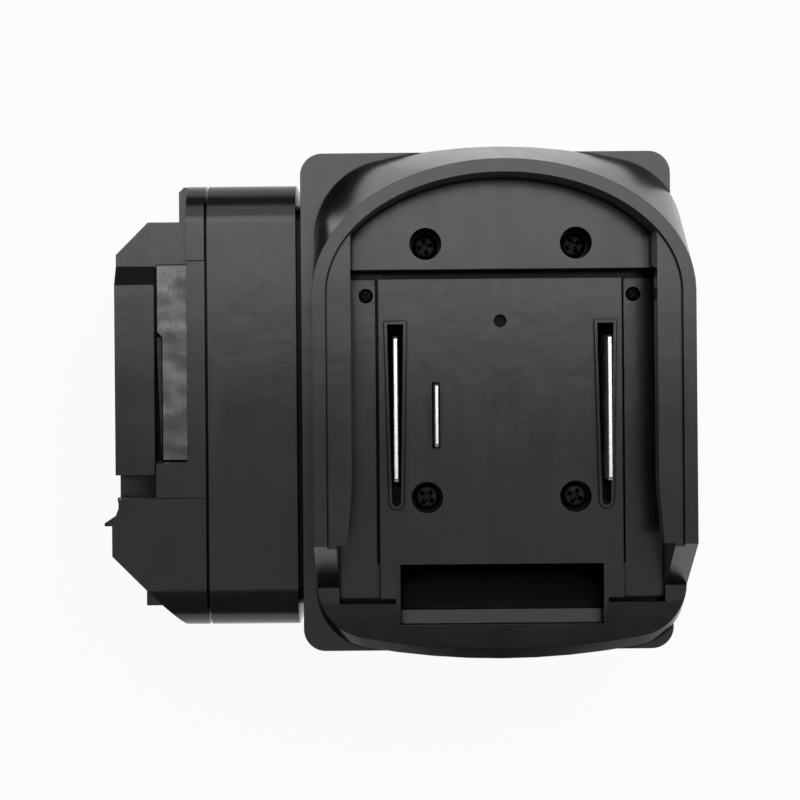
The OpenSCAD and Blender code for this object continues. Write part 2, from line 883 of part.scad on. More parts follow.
// Solid form of the foot: a loft from its squarish base to the horseshoe rim
module foot_form() {
    hull() {
        along_z(z_plate - base_sink, z_plate + slice)
            polygon(foot_outline());
        along_z(z_rim - slice, z_rim)
            polygon(horseshoe(foot_half, arch_rise, -lip_low));
    }
}

// Room that the battery slides into, with the undercuts behind the rail lips
module socket_hollow() {
    box([-lip_half, -foot_low - base_sink, z_floor], [lip_half, head_y, z_rim + over]);
    intersection() {
        along_z(z_head, z_rim + over)
            polygon(horseshoe(rim_half, arch_rise - rim_w, 0));
        box([-lip_half, head_y - over, z_head], [lip_half, foot_top, z_rim + over]);
    }
    along_z(z_lip, z_rim + over)
        polygon(horseshoe(rim_half, arch_rise - rim_w, -lip_low - over));
    both_arms() {
        box([floor_w / 2, -chin_y, z_channel], [channel_half, head_y, z_lip - lip_t]);
        box([lip_half - over, -chin_y, z_channel + over], [channel_half, -lip_low, z_rim + over]);
        along_z(z_channel + over, z_rim + over)
            polygon([[lip_half - over, flare_len - lip_low], [lip_half - over, -lip_low - over],
                [lip_half + lip_flare, -lip_low - over], [lip_half, flare_len - lip_low]]);
    }
}

// Slopes at the ends of the arms and over the chin
module foot_slopes() {
    along_x(-foot_w, foot_w) {
        polygon([[arm_end(z_floor), z_floor], [arm_end(z_rim + over), z_rim + over],
            [-foot_low - foot_h, z_rim + over], [-foot_low - foot_h, z_floor]]);
        polygon([[-chin_y, z_floor], [-foot_low, z_floor - chin_drop],
            [-foot_low - foot_h, z_floor - chin_drop], [-foot_low - foot_h, z_rim], [-chin_y, z_rim]]);
    }
}

// Pocket for the battery catch, with a sloping floor, grown by a given distance
module pocket_form(grow, top) {
    along_x(-pocket_w / 2 - grow, pocket_w / 2 + grow)
        polygon([[-pocket_y + grow, top], [-pocket_y + grow, z_pocket - grow],
            [pocket_low - grow, z_heel - grow], [pocket_low - grow, top]]);
}

// Socket with its mounting plate, horseshoe foot, floor and catch pocket
module socket_frame() {
    color(black)
        difference() {
            union() {
                difference() {
                    union() {
                        along_z(body_d, z_plate)
                            translate([-plate_shift, -plate_drop])
                                rounded(plate_w, plate_h, plate_r);
                        foot_form();
                    }
                    socket_hollow();
                    foot_slopes();
                }
                for (sx = [-1, 1]) {
                    along_z(z_floor - over, z_floor + border_h)
                        translate([sx * blade_x, 0])
                            polygon(slot_outline(border_w));
                }
                pocket_form(pocket_wall, body_d + over);
            }
            pocket_form(0, z_floor + over);
            along_x(-pocket_w / 2, pocket_w / 2)
                polygon([[pocket_low + over, z_ledge], [pocket_low, z_ledge],
                    [pocket_low - ramp_len, z_plate], [pocket_low - ramp_len, z_floor + over],
                    [pocket_low + over, z_floor + over]]);
            box([-channel_half, head_y - head_gap, z_gap], [channel_half, head_y, z_floor + over]);
            both_arms() {
                box([floor_w / 2, -pocket_y, z_gap], [floor_w / 2 + side_gap, head_y, z_floor + over]);
                box([pocket_w / 2 + over, -chin_y, z_channel - groove_d],
                    [channel_half, groove_w - chin_y, z_floor + over]);
            }
            for (sx = [-1, 1]) {
                along_z(body_d + over, z_floor + over)
                    translate([sx * blade_x, 0])
                        polygon(slot_outline(0));
            }
            box([-signal_x - signal_slot_w / 2, signal_low - signal_end, body_d],
                [-signal_x + signal_slot_w / 2, signal_top + signal_end, z_floor + over]);
            difference() {
                box([-flange_half - fit, flange_low - fit, body_d - over],
                    [flange_half + fit, flange_top + fit, z_flange + fit]);
                for (sx = [-1, 1]) {
                    pin_z(body_d - 2 * over, z_plate, sx * frame_screw_x, -lower_screw_y, bore_boss_d);
                }
            }
            for (p = frame_screws_at) {
                pin_z(z_seat, z_rim + over, p.x, p.y, bore_d);
                pin_z(body_d - over, z_rim, p.x, p.y, screw_d + screw_play);
            }
            for (sx = [-1, 1]) {
                pin_z(z_carrier_seat, z_head, sx * carrier_screw_x, carrier_screw_y,
                    carrier_head_d + screw_play);
                pin_z(body_d, z_head, sx * carrier_screw_x, carrier_screw_y, carrier_screw_d + screw_play);
            }
            pin_z(z_floor - dimple_deep, z_head, 0, dimple_y, dimple_d);
        }
}

// Screws that hold the socket to the body
module frame_screws() {
    color(steel)
        for (p = frame_screws_at) {
            translate([p.x, p.y, z_seat])
                screw(screw_d, screw_len, head_d, head_t);
        }
}

// Insulating block that holds the three blades
module blade_carrier() {
    color(dark)
        difference() {
            union() {
                difference() {
                    box([-flange_half, flange_low, body_d], [flange_half, flange_top, z_flange]);
                    for (sx = [-1, 1]) {
                        pin_z(body_d - over, z_plate, sx * frame_screw_x, -lower_screw_y,
                            bore_boss_d + run_gap);
                    }
                }
                box([-block_half, block_low, z_carrier], [block_half, carrier_top, body_d + over]);
                for (sx = [-1, 1]) {
                    pin_z(z_carrier, body_d + over, sx * carrier_screw_x, carrier_screw_y, carrier_boss_d);
                }
            }
            for (sx = [-1, 1]) {
                blade_seat(sx * blade_x, blade_t, [blade_low, blade_top], power_neck);
                pin_z(z_carrier - over, z_plate, sx * carrier_screw_x, carrier_screw_y,
                    carrier_screw_d + pilot);
            }
            blade_seat(-signal_x, signal_t, [signal_low, signal_top], signal_neck);
        }
}

// Slot in the carrier for a blade and its neck
module blade_seat(x, t, span, neck) {
    half = t / 2 + fit;
    box([x - half, span[0] - fit, z_neck - fit], [x + half, span[1] + fit, z_plate]);
    box([x - half, neck[0] - fit, z_carrier - over], [x + half, neck[1] + fit, z_plate]);
}

// Flat blade with bevelled tips, and the neck that its lead is soldered to
module blade(x, t, span, neck, top) {
    along_x(x - t / 2, x + t / 2)
        polygon([[span[0], z_neck], [span[0], top - blade_tip], [span[0] + blade_tip, top],
            [span[1] - blade_tip, top], [span[1], top - blade_tip], [span[1], z_neck],
            [neck[1], z_neck], [neck[1], z_tail], [neck[0], z_tail], [neck[0], z_neck]]);
}

module power_blade_left() {
    color(nickel)
        blade(-blade_x, blade_t, [blade_low, blade_top], power_neck, z_floor + blade_h);
}

module power_blade_right() {
    color(nickel)
        blade(blade_x, blade_t, [blade_low, blade_top], power_neck, z_floor + blade_h);
}

module signal_blade() {
    color(nickel)
        blade(-signal_x, signal_t, [signal_low, signal_top], signal_neck, z_floor + signal_h);
}

// Small screws that hold the carrier behind the floor
module carrier_screws() {
    color(steel)
        for (sx = [-1, 1]) {
            translate([sx * carrier_screw_x, carrier_screw_y, z_carrier_seat + fit])
                screw(carrier_screw_d, carrier_screw_len, carrier_head_d, carrier_head_t);
        }
}

// Board behind the terminal slots
module contact_board() {
    color(board_green)
        difference() {
            box([x_board, board_low, z_mid - board_half], [x_board_back, board_top, z_mid + board_half]);
            for (y = board_screw_y) {
                pin_x(x_board - over, x_board_back + over, y, z_mid, small_d + screw_play);
            }
        }
}

module board_screws() {
    color(steel)
        for (y = board_screw_y) {
            translate([x_board_back + fit, y, z_mid])
                rotate([0, 90, 0])
                    screw(small_d, small_len, small_head_d, small_head_t);
        }
}

// Spring clip that takes one blade of the tool: a base on the board and two pinching leaves
module clip(z) {
    x_back = x_board - fit;
    leaf = [[x_back, clip_root + leaf_t], [x_pinch, clip_pinch + leaf_t], [x_mouth, clip_mouth + leaf_t],
        [x_mouth, clip_mouth], [x_pinch, clip_pinch], [x_back - clip_base, clip_root]];
    along_y(clip_low, clip_low + clip_len)
        translate([0, z])
            polygon(concat(leaf, [for (i = [len(leaf) - 1:-1:0]) [leaf[i].x, -leaf[i].y]]));
}

module power_contact_left() {
    color(nickel)
        clip(clip_z[0]);
}

module power_contact_right() {
    color(nickel)
        clip(clip_z[3]);
}

module signal_contacts() {
    color(nickel)
        for (z = [clip_z[1], clip_z[2]]) {
            clip(z);
        }
}

// Leads from the blades to the board
module left_lead() {
    color("firebrick")
        tube(left_route, power_lead_d, lead_sides, [0, 1, 0]);
}

module right_lead() {
    color("black")
        tube(right_route, power_lead_d, lead_sides, [0, 1, 0]);
}

module signal_lead() {
    color("gold")
        tube(signal_route, signal_lead_d, lead_sides, [0, 1, 0]);
}

// Screws that hold the cover to the body
module cover_screws() {
    color(steel)
        for (p = cover_screws_at) {
            translate([x_seat, p.x, p.y])
                rotate([0, -90, 0])
                    screw(screw_d, screw_len, head_d, head_t);
        }
}

body_shell();
tool_cover();
rail_strips();
latch();
latch_springs();
latch_bracket();
bracket_screws();
socket_frame();
frame_screws();
blade_carrier();
carrier_screws();
power_blade_left();
power_blade_right();
signal_blade();
contact_board();
board_screws();
power_contact_left();
power_contact_right();
signal_contacts();
left_lead();
right_lead();
signal_lead();
cover_screws();
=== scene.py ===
"""Dresses a slide-on battery adapter for cordless tools and sets it in a white studio."""

import json
import logging
import math
from dataclasses import dataclass, field
from enum import Enum

import bmesh
import bpy
from mathutils import Matrix, Vector


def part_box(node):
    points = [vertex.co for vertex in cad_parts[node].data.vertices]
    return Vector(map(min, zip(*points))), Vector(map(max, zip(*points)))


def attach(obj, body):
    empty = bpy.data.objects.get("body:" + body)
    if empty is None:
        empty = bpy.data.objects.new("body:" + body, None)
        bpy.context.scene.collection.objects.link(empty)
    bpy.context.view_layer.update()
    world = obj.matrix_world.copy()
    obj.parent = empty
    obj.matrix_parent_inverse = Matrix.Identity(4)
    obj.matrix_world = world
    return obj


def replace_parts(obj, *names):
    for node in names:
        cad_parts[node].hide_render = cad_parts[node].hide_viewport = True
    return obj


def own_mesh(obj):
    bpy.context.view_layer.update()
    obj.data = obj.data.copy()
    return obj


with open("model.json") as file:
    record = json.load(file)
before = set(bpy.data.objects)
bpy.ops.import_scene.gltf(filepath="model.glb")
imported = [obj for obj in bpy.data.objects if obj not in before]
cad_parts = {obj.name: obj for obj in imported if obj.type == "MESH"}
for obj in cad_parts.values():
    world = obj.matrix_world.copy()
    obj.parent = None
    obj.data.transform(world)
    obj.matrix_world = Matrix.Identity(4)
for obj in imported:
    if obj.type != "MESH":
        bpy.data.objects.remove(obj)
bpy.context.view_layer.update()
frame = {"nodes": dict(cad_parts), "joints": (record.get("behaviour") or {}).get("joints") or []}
MM = 0.001
JOIN_MM = 0.001
NOISE_MIDDLE = 0.5
LOG = logging.getLogger("adapter")

Colour = tuple[float, float, float]
Stretch = tuple[float, float, float]
Span = tuple[float, float]


class Grain(Enum):
    """The way along which a metal was drawn, rolled or rubbed."""

    ALONG_X = (0.03, 1.0, 1.0)
    ALONG_Y = (1.0, 0.03, 1.0)
    ALONG_Z = (1.0, 1.0, 0.03)


class Rounding(Enum):
    """How far the edges of a piece are rounded, in millimetres."""

    MOULDED = 0.25
    COINED = 0.3
    FINE_MOULDED = 0.2
    STAMPED = 0.14
    CUT = 0.06


class Shade:
    """A value, colour or vector on its way through the nodes of a material."""

    def __init__(self, graph: "Graph", socket: bpy.types.NodeSocket | None) -> None:
        """Keeps the socket and the graph that it belongs to."""
        self.graph = graph
        self.socket = socket

    def __add__(self, other: "Shade | float") -> "Shade":
        """Adds a value to this one."""
        return self.graph.maths("ADD", self, other)

    def __radd__(self, other: float) -> "Shade":
        """Adds this value to a number."""
        return self.graph.maths("ADD", other, self)

    def __sub__(self, other: "Shade | float") -> "Shade":
        """Takes a value from this one."""
        return self.graph.maths("SUBTRACT", self, other)

    def __rsub__(self, other: float) -> "Shade":
        """Takes this value from a number."""
        return self.graph.maths("SUBTRACT", other, self)

    def __mul__(self, other: "Shade | float") -> "Shade":
        """Multiplies this value by another."""
        return self.graph.maths("MULTIPLY", self, other)

    def __rmul__(self, other: float) -> "Shade":
        """Multiplies a number by this value."""
        return self.graph.maths("MULTIPLY", other, self)

    def between(self, low: float, high: float) -> "Shade":
        """Gives how far this value lies from low to high, smoothly and from 0 to 1.

        Args:
            low: The value that becomes 0.
            high: The value that becomes 1.

        Returns:
            The eased share.
        """
        settings = {"interpolation_type": "SMOOTHSTEP"}
        sockets = {"Value": self, "From Min": low, "From Max": high}
        return self.graph.node("ShaderNodeMapRange", settings, sockets)


class Graph:
    """The nodes of one material or world, written as Python expressions."""

    CLOUD_ROUGHNESS = 0.55
    EDGE_SAMPLES = 6
    EDGE_SPAN = (0.01, 0.22)
    SKY_SAMPLES = 8

    def __init__(self, owner: bpy.types.Material | bpy.types.World) -> None:
        """Empties the nodes of a material or a world."""
        self.owner = owner
        self.owner.use_nodes = True
        self.tree = owner.node_tree
        self.tree.nodes.clear()

    def node(self, kind: str, settings: dict | None = None, sockets: dict | None = None,
             output: int | str = 0) -> Shade:
        """Adds a node of any type.

        Args:
            kind: The node's type.
            settings: Values of its own settings.
            sockets: Numbers, colours or shades for its sockets, by name or place.
            output: The name or place of the output that is given back.

        Returns:
            The chosen output, which is empty for a node that only ends a material.
        """
        made = self.tree.nodes.new(kind)
        for name, value in (settings or {}).items():
            setattr(made, name, value)
        for key, value in (sockets or {}).items():
            target = made.inputs[key]
            if isinstance(value, Shade):
                self.tree.links.new(value.socket, target)
            elif isinstance(value, tuple) and target.type == "RGBA":
                target.default_value = (*value, 1.0)
            else:
                target.default_value = value
        return Shade(self, made.outputs[output] if made.outputs else None)

    def maths(self, operation: str, first: Shade | float, second: Shade | float) -> Shade:
        """Adds one Math node for two values.

        Args:
            operation: The Math node's operation.
            first: Its first value.
            second: Its second value.

        Returns:
            The result.
        """
        return self.node("ShaderNodeMath", {"operation": operation}, {0: first, 1: second})

    def mixed(self, share: Shade | float, first: Shade | Colour, second: Shade | Colour) -> Shade:
        """Blends two colours.

        Args:
            share: How much of the second colour shows.
            first: The colour at 0.
            second: The colour at 1.

        Returns:
            The blended colour.
        """
        return self.node("ShaderNodeMix", {"data_type": "RGBA"}, {0: share, 6: first, 7: second}, 2)

    def place(self, stretch: Stretch = (1.0, 1.0, 1.0)) -> Shade:
        """Gives the place on the piece in millimetres.

        Args:
            stretch: A factor for each axis, below 1 where a pattern is drawn out.

        Returns:
            The stretched place.
        """
        inside = self.node("ShaderNodeTexCoord", output="Object")
        scale = tuple(s / MM for s in stretch)
        return self.node("ShaderNodeVectorMath", {"operation": "MULTIPLY"}, {0: inside, 1: scale})

    def noise(self, size_mm: float, detail: float = 2.0, stretch: Stretch = (1.0, 1.0, 1.0)) -> Shade:
        """Gives cloudy noise from 0 to 1.

        Args:
            size_mm: The size of its clouds.
            detail: How many finer layers it has.
            stretch: A factor for each axis, below 1 where the clouds are drawn out.

        Returns:
            The noise.
        """
        sockets = {"Vector": self.place(stretch), "Scale": 1.0 / size_mm, "Detail": detail,
                   "Roughness": self.CLOUD_ROUGHNESS}
        return self.node("ShaderNodeTexNoise", None, sockets, "Fac")

    def edges(self, radius_mm: float) -> Shade:
        """Gives a mask of the edges and corners, from 0 on flat faces to 1 on sharp edges.

        Args:
            radius_mm: How far from an edge the mask reaches.

        Returns:
            The mask.
        """
        rounded = self.node("ShaderNodeBevel", {"samples": self.EDGE_SAMPLES}, {"Radius": radius_mm * MM})
        flat = self.node("ShaderNodeNewGeometry", output="Normal")
        settings = {"operation": "DOT_PRODUCT"}
        agree = self.node("ShaderNodeVectorMath", settings, {0: rounded, 1: flat}, "Value")
        return (1.0 - agree).between(*self.EDGE_SPAN)

    def corners(self, reach_mm: float, start: float, full: float) -> Shade:
        """Gives a mask of the inner corners and narrow gaps, where shade is painted.

        Args:
            reach_mm: How far from a corner the mask reaches.
            start: How much of the sky is hidden where the mask begins.
            full: How much of the sky is hidden where the mask is 1.

        Returns:
            The mask.
        """
        settings = {"samples": self.SKY_SAMPLES}
        sky = self.node("ShaderNodeAmbientOcclusion", settings, {"Distance": reach_mm * MM}, "AO")
        return (1.0 - sky).between(start, full)

    def surface(self, **sockets: Shade | float | Colour) -> bpy.types.Material:
        """Ends the material with one surface shader.

        Args:
            **sockets: Its sockets, with underscores for the spaces in their names.

        Returns:
            The finished material.
        """
        named = {key.replace("_", " "): value for key, value in sockets.items()}
        shader = self.node("ShaderNodeBsdfPrincipled", None, named)
        self.node("ShaderNodeOutputMaterial", None, {"Surface": shader})
        return self.owner

    def bump(self, height: Shade, depth_mm: float = 1.0) -> Shade:
        """Turns a height into a normal.

        Args:
            height: The height.
            depth_mm: How deep the height of 1 is.

        Returns:
            The normal.
        """
        sockets = {"Height": height, "Distance": depth_mm * MM, "Strength": 1.0}
        return self.node("ShaderNodeBump", None, sockets)


@dataclass(frozen=True)
class MouldedPlastic:
    """Satin moulded plastic with eroded grain, sink and flow marks, worn edges with a painted highlight and
    painted shade in corners.
    """

    name: str
    colour: Colour
    worn_and_highlight_colour: Colour
    painted_shade_colour: Colour = (0.001, 0.001, 0.001)
    roughness: float = 0.19
    detail: float = 3.0
    grain_mm: float = 0.28
    grain_depth_mm: float = 0.010
    grain_gloss: float = 0.05
    sink_mm: float = 11.0
    sink_depth_mm: float = 0.07
    sink_gloss: float = 0.07
    sink_span: Span = (0.3, 0.7)
    sink_wear: float = 0.35
    flow_mm: float = 3.0
    flow_stretch: Stretch = (1.0, 0.08, 0.5)
    flow_depth_mm: float = 0.009
    flow_gloss: float = 0.08
    edge_mm: float = 0.7
    edge_gloss: float = 0.05
    rub_mm: float = 2.5
    rub_span: Span = (0.3, 0.6)
    wear: float = 0.55
    # How strongly shade is painted into the corners, gaps and seams.
    painted_shade: float = 0.9
    gap_reach_mm: float = 6.0
    gap_span: Span = (0.42, 0.66)
    seam_reach_mm: float = 0.8
    seam_span: Span = (0.18, 0.38)

    def material(self) -> bpy.types.Material:
        """Builds the material."""
        graph = Graph(bpy.data.materials.new(self.name))
        grain = graph.noise(self.grain_mm, self.detail)
        sinks = graph.noise(self.sink_mm, self.detail)
        flow = graph.noise(self.flow_mm, stretch=self.flow_stretch)
        # Edges are lightened partly as rubbed wear and partly as a painted highlight along them.
        edge = graph.edges(self.edge_mm) * graph.noise(self.rub_mm, self.detail).between(*self.rub_span)
        # Painted shade: the occlusion masks of wide gaps and narrow seams darken the colour to near black in
        # corners, gaps and recesses.
        gaps = graph.corners(self.gap_reach_mm, *self.gap_span)
        seams = graph.corners(self.seam_reach_mm, *self.seam_span)
        painted_shade = graph.maths("MAXIMUM", gaps, seams) * self.painted_shade
        base = graph.mixed(sinks.between(*self.sink_span) * self.sink_wear, self.colour, self.worn_and_highlight_colour)
        base = graph.mixed(edge * self.wear, base, self.worn_and_highlight_colour)
        base = graph.mixed(painted_shade, base, self.painted_shade_colour)
        rough = self.roughness + (sinks - NOISE_MIDDLE) * self.sink_gloss
        rough = rough + (flow - NOISE_MIDDLE) * self.flow_gloss
        rough = rough + (grain - NOISE_MIDDLE) * self.grain_gloss - edge * self.edge_gloss
        height_mm = grain * self.grain_depth_mm + sinks * self.sink_depth_mm + flow * self.flow_depth_mm
        normal = graph.bump(height_mm)
        # Metallic follows the painted shade, so the shaded corners also lose their reflection.
        return graph.surface(Base_Color=base, Roughness=rough, Metallic=painted_shade, Normal=normal)


@dataclass(frozen=True)
class DrawnMetal:
    """Bare or plated metal with drawn streaks, tarnish and bright rubbed edges."""

    name: str
    colour: Colour
    tarnish_colour: Colour
    grain: Grain = Grain.ALONG_Y
    roughness: float = 0.26
    streak_mm: float = 0.16
    streak_detail: float = 3.0
    streak_depth_mm: float = 0.004
    streak_span: Span = (0.45, 0.8)
    streak_tarnish: float = 0.2
    streak_gloss: float = 0.18
    stain_mm: float = 4.0
    stain_detail: float = 4.0
    stain_span: Span = (0.42, 0.72)
    stain_gloss: float = 0.12
    tarnish: float = 0.35
    edge_mm: float = 0.35
    edge_bright: float = 0.5
    edge_gloss: float = 0.08
    ripple_mm: float = 9.0
    ripple_detail: float = 1.0
    ripple_depth_mm: float = 0.0

    def material(self) -> bpy.types.Material:
        """Builds the material."""
        graph = Graph(bpy.data.materials.new(self.name))
        streaks = graph.noise(self.streak_mm, self.streak_detail, self.grain.value)
        stains = graph.noise(self.stain_mm, self.stain_detail).between(*self.stain_span)
        edge = graph.edges(self.edge_mm)
        base = graph.mixed(stains * self.tarnish, self.colour, self.tarnish_colour)
        streaked = streaks.between(*self.streak_span) * self.streak_tarnish
        base = graph.mixed(streaked, base, self.tarnish_colour)
        base = graph.mixed(edge * self.edge_bright, base, self.colour)
        rough = self.roughness + (streaks - NOISE_MIDDLE) * self.streak_gloss
        rough = rough + stains * self.stain_gloss - edge * self.edge_gloss
        height = streaks
        if self.ripple_depth_mm > 0:
            ripples = graph.noise(self.ripple_mm, self.ripple_detail)
            height = streaks + ripples * (self.ripple_depth_mm / self.streak_depth_mm)
        normal = graph.bump(height, self.streak_depth_mm)
        return graph.surface(Base_Color=base, Roughness=rough, Metallic=1.0, Normal=normal)


@dataclass(frozen=True)
class SolderMask:
    """Green lacquer over a woven glass board."""

    name: str
    colour: Colour
    weave_colour: Colour
    roughness: float = 0.34
    weave_mm: float = 0.9
    weave_span: Span = (-0.8, 0.8)
    weave_share: float = 0.35
    cloud_mm: float = 7.0
    cloud_detail: float = 3.0
    cloud_gloss: float = 0.2
    depth_mm: float = 0.008

    def material(self) -> bpy.types.Material:
        """Builds the material."""
        graph = Graph(bpy.data.materials.new(self.name))
        clouds = graph.noise(self.cloud_mm, self.cloud_detail)
        turns = math.tau / self.weave_mm
        parts = [graph.node("ShaderNodeSeparateXYZ", None, {0: graph.place()}, axis) for axis in "YZ"]
        waves = [graph.maths("SINE", part * turns, 0.0) for part in parts]
        weave = (waves[0] * waves[1]).between(*self.weave_span)
        base = graph.mixed(weave * self.weave_share, self.colour, self.weave_colour)
        rough = self.roughness + (clouds - NOISE_MIDDLE) * self.cloud_gloss
        normal = graph.bump(weave + clouds, self.depth_mm)
        return graph.surface(Base_Color=base, Roughness=rough, Normal=normal)


@dataclass(frozen=True)
class Insulation:
    """Smooth extruded wire insulation with faint die lines and handling marks."""

    name: str
    colour: Colour
    marked_colour: Colour
    roughness: float = 0.36
    mark_mm: float = 2.2
    mark_detail: float = 4.0
    mark_span: Span = (0.5, 0.8)
    mark_share: float = 0.4
    mark_gloss: float = 0.2
    line_mm: float = 0.25
    line_stretch: Stretch = (0.05, 0.6, 0.6)
    line_gloss: float = 0.1
    line_depth_mm: float = 0.006

    def material(self) -> bpy.types.Material:
        """Builds the material."""
        graph = Graph(bpy.data.materials.new(self.name))
        marks = graph.noise(self.mark_mm, self.mark_detail).between(*self.mark_span)
        lines = graph.noise(self.line_mm, stretch=self.line_stretch)
        base = graph.mixed(marks * self.mark_share, self.colour, self.marked_colour)
        rough = self.roughness + marks * self.mark_gloss + (lines - NOISE_MIDDLE) * self.line_gloss
        normal = graph.bump(lines, self.line_depth_mm)
        return graph.surface(Base_Color=base, Roughness=rough, Normal=normal)


Finish = MouldedPlastic | DrawnMetal | SolderMask | Insulation

HOUSING = MouldedPlastic("housing_plastic", (0.007, 0.007, 0.0072), (0.014, 0.014, 0.0144))
LATCH_BLACK = MouldedPlastic("latch_plastic", (0.006, 0.006, 0.0062), (0.012, 0.012, 0.0124), roughness=0.18)
INSULATOR = MouldedPlastic("insulator_plastic", (0.004, 0.004, 0.0041), (0.008, 0.008, 0.0082),
                           roughness=0.75)
STRIP_STEEL = DrawnMetal("strip_steel", (0.1, 0.1, 0.102), (0.03, 0.0295, 0.029), roughness=0.24,
                         ripple_mm=8.0, ripple_depth_mm=0.4)
SPRING_STEEL = DrawnMetal("spring_steel", (0.58, 0.58, 0.60), (0.30, 0.29, 0.28), Grain.ALONG_X)
BRACKET_STEEL = DrawnMetal("bracket_steel", (0.55, 0.56, 0.58), (0.35, 0.35, 0.33), Grain.ALONG_Z, 0.34)
SCREW_STEEL = DrawnMetal("screw_steel", (0.018, 0.018, 0.019), (0.01, 0.01, 0.01), Grain.ALONG_Z, 0.46)
NICKEL = DrawnMetal("blade_nickel", (0.84, 0.82, 0.79), (0.56, 0.53, 0.47), Grain.ALONG_Y, 0.24)
LAMINATE = SolderMask("board_laminate", (0.014, 0.085, 0.045), (0.03, 0.13, 0.07))
RED_LEAD = Insulation("lead_red", (0.42, 0.022, 0.018), (0.28, 0.03, 0.03))
BLACK_LEAD = Insulation("lead_black", (0.02, 0.02, 0.021), (0.05, 0.05, 0.05))
YELLOW_LEAD = Insulation("lead_yellow", (0.62, 0.42, 0.03), (0.42, 0.3, 0.05))


class Wardrobe:
    """Makes each finish once and hands it to every piece that wears it."""

    def __init__(self) -> None:
        """Starts with no finish made."""
        self.made: dict[str, bpy.types.Material] = {}

    def wear(self, piece: bpy.types.Object, finish: Finish) -> bpy.types.Object:
        """Gives a piece its only material.

        Args:
            piece: The piece.
            finish: What it is finished in.

        Returns:
            The same piece.
        """
        if finish.name not in self.made:
            self.made[finish.name] = finish.material()
        piece.data.materials.clear()
        piece.data.materials.append(self.made[finish.name])
        return piece


def soften(piece: bpy.types.Object, rounding: Rounding, edge_deg: float = 28.0, flat_deg: float = 0.4,
           segments: int = 3) -> None:
    """Rounds the hard edges of a piece with modifiers and leaves its own mesh as it is.

    Args:
        piece: The piece.
        rounding: How far its edges are rounded.
        edge_deg: The smallest angle between two faces that counts as an edge.
        flat_deg: The largest angle between two faces that counts as none.
        segments: How many steps each rounding has.
    """
    piece.data.shade_smooth()
    weld = piece.modifiers.new("join_corners", "WELD")
    weld.merge_threshold = JOIN_MM * MM
    flat = piece.modifiers.new("join_flat_faces", "DECIMATE")
    flat.decimate_type = "DISSOLVE"
    flat.angle_limit = math.radians(flat_deg)
    bevel = piece.modifiers.new("round_edges", "BEVEL")
    bevel.width = rounding.value * MM
    bevel.segments = segments
    bevel.limit_method = "ANGLE"
    bevel.angle_limit = math.radians(edge_deg)
    bevel.miter_outer = "MITER_ARC"
    bevel.use_clamp_overlap = True
    normals = piece.modifiers.new("even_normals", "WEIGHTED_NORMAL")
    normals.keep_sharp = True


@dataclass
class SubAssembly:
    """A group of pieces that is dressed together."""

    wardrobe: Wardrobe
    pieces: list[bpy.types.Object] = field(default_factory=list)

    def dress(self, node: str, finish: Finish, rounding: Rounding) -> None:
        """Finishes a piece whose shape is already right.

        Args:
            node: The piece's name.
            finish: What it is finished in.
            rounding: How far its edges are rounded.
        """
        piece = frame["nodes"][node]
        soften(piece, rounding)
        self.pieces.append(self.wardrobe.wear(piece, finish))

    def add(self, name: str, mesh: bpy.types.Mesh, finish: Finish, body: str) -> bpy.types.Object:
        """Adds a new piece that rides on a body.

        Args:
            name: The piece's name.
            mesh: Its shape, in the frame's own place.
            finish: What it is finished in.
            body: The body that carries it.

        Returns:
            The new piece.
        """
        piece = bpy.data.objects.new(name, mesh)
        bpy.context.scene.collection.objects.link(piece)
        self.wardrobe.wear(piece, finish)
        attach(piece, body)
        self.pieces.append(piece)
        return piece


def swept_tube(path: list[Vector], radius: float, sides: int) -> bpy.types.Mesh:
    """Sweeps a round section along a path without twisting it.

    Args:
        path: The centre line.
        radius: The radius of the section.
        sides: How many sides the section has.

    Returns:
        A closed mesh with smooth sides.
    """
    shape = bmesh.new()
    heading = (path[1] - path[0]).normalized()
    across = heading.orthogonal().normalized()
    rings = []
    for index, centre in enumerate(path):
        ahead = path[min(index + 1, len(path) - 1)] - path[max(index - 1, 0)]
        turn = heading.rotation_difference(ahead.normalized())
        across = (turn @ across).normalized()
        heading = ahead.normalized()
        beside = heading.cross(across)
        angles = [math.tau * k / sides for k in range(sides)]
        rings.append([shape.verts.new(centre + radius * (math.cos(a) * across + math.sin(a) * beside))
                      for a in angles])
    for ring, following in zip(rings, rings[1:]):
        for k in range(sides):
            face = shape.faces.new((ring[k], ring[(k + 1) % sides], following[(k + 1) % sides], following[k]))
            face.smooth = True
    shape.faces.new(reversed(rings[0]))
    shape.faces.new(rings[-1])
    mesh = bpy.data.meshes.new("tube")
    shape.to_mesh(mesh)
    shape.free()
    return mesh


def smooth_route(points_mm: list[tuple[float, float, float]], steps: int) -> list[Vector]:
    """Runs a smooth curve through the points of a route.

    Args:
        points_mm: The points, in millimetres.
        steps: How many steps lie between two points.

    Returns:
        The curve, in metres.
    """
    points = [Vector(p) * MM for p in points_mm]
    points = [2 * points[0] - points[1], *points, 2 * points[-1] - points[-2]]
    curve = []
    for before, start, end, after in zip(points, points[1:], points[2:], points[3:]):
        for i in range(steps):
            t = i / steps
            bend = t ** 2 * (2 * before - 5 * start + 4 * end - after)
            twist = t ** 3 * (3 * start - before - 3 * end + after)
            curve.append((2 * start + t * (end - before) + bend + twist) / 2)
    return [*curve, points[-2]]


@dataclass
class Housing(SubAssembly):
    """The moulded body, the tool cover and the battery socket."""

    def build(self) -> None:
        """Dresses the three mouldings and the wear strips."""
        for node in ("body_shell", "tool_cover", "socket_frame"):
            self.dress(node, HOUSING, Rounding.MOULDED)
        self.dress("rail_strips", STRIP_STEEL, Rounding.STAMPED)


